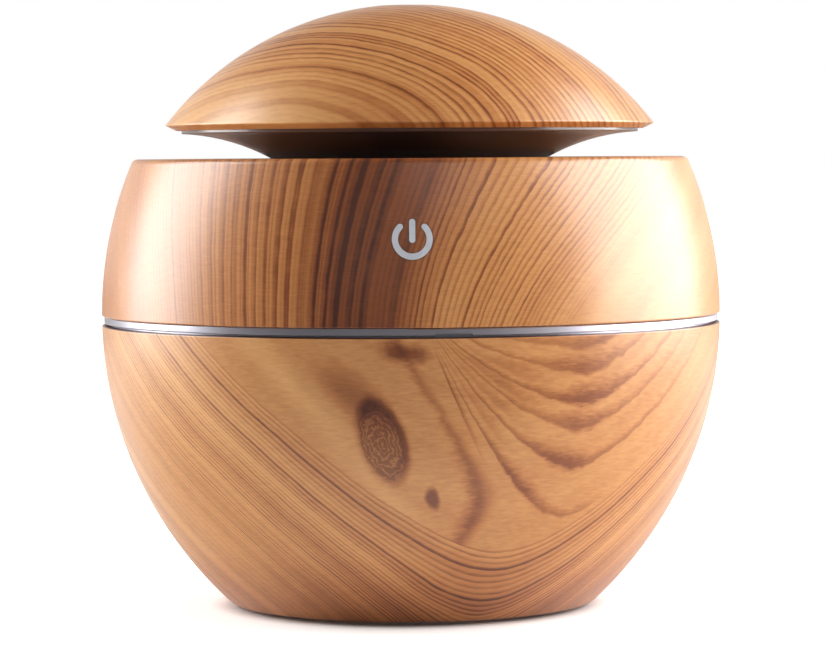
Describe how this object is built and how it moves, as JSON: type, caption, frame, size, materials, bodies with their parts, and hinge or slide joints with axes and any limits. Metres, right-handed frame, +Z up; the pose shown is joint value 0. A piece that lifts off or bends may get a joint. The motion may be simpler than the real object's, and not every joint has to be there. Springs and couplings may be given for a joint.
{
  "type": "ultrasonic aroma diffuser",
  "caption": "Ball-shaped ultrasonic aroma diffuser with a wood-grain bowl and band, a lift-off dome lid on a dark trumpet, a light ring in the seam and a touch key on the front.",
  "frame": {"origin": "on the resting plane under the feet, on the vertical axis of the ball", "axes": "+Z up along the ball's axis, -Y the front with the touch symbol, +Y the back with the power port, +X to the right seen from the front"},
  "size_m": [0.101, 0.101, 0.0977],
  "materials": {
    "wood_print": "satin wood-grain print on moulded plastic",
    "dark_plastic": "satin dark brown",
    "white_plastic": "moulded, slightly translucent",
    "black_plastic": "matte",
    "light_ring": "milky, translucent",
    "silver": "satin",
    "silicone": "soft, matte",
    "rubber": "matte",
    "steel": "plated",
    "brass": "sintered",
    "aluminium": "plain can",
    "copper_coil": "enamelled winding",
    "ferrite": "matte",
    "circuit_board": "green solder mask",
    "wire": "insulated wire"
  },
  "bodies": {
    "housing": {"upper_shell": "wood_print", "power_symbol": "silver", "touch_board": "circuit_board", "touch_spring": "steel", "touch_chip": "black_plastic", "touch_wires": "wire", "tank_cover": "white_plastic", "tank_seal": "silicone", "water_tank": "white_plastic", "light_ring": "light_ring", "lower_bowl": "wood_print", "base_cover": "dark_plastic", "rubber_feet": "rubber", "base_screws": "steel", "atomiser_disc": "steel", "atomiser_seal": "silicone", "atomiser_retainer": "white_plastic", "atomiser_screws": "steel", "atomiser_wires": "wire", "main_board": "circuit_board", "board_screws": "steel", "drive_coil": "ferrite", "drive_transistor": "black_plastic", "controller_chip": "black_plastic", "capacitors": "aluminium", "leds": "light_ring", "wire_headers": "white_plastic", "usb_port": "steel", "usb_tongue": "black_plastic", "fan_frame": "black_plastic", "fan_bearing": "brass", "fan_coil": "copper_coil", "fan_screws": "steel", "fan_wires": "wire"},
    "lid_seal": {"neck_seal": "silicone"},
    "lid": {"lid_dome": "wood_print", "lid_funnel": "dark_plastic", "mist_duct": "dark_plastic"},
    "rotor": {"fan_rotor": "black_plastic", "fan_magnet": "ferrite", "fan_shaft": "steel"}
  },
  "joints": [
    {"name": "lid_lift", "type": "slide", "parent": "housing", "child": "lid_seal", "axis": [0, 0, 1], "range_m": [0, 0.022]},
    {"name": "lid_turn", "type": "hinge", "parent": "lid_seal", "child": "lid", "pos_m": [0, 0, 0.0655], "axis": [0, 0, 1], "continuous": true},
    {"name": "fan_spin", "type": "hinge", "parent": "housing", "child": "rotor", "pos_m": [0, 0, 0.0075], "axis": [0, 0, 1], "continuous": true}
  ]
}
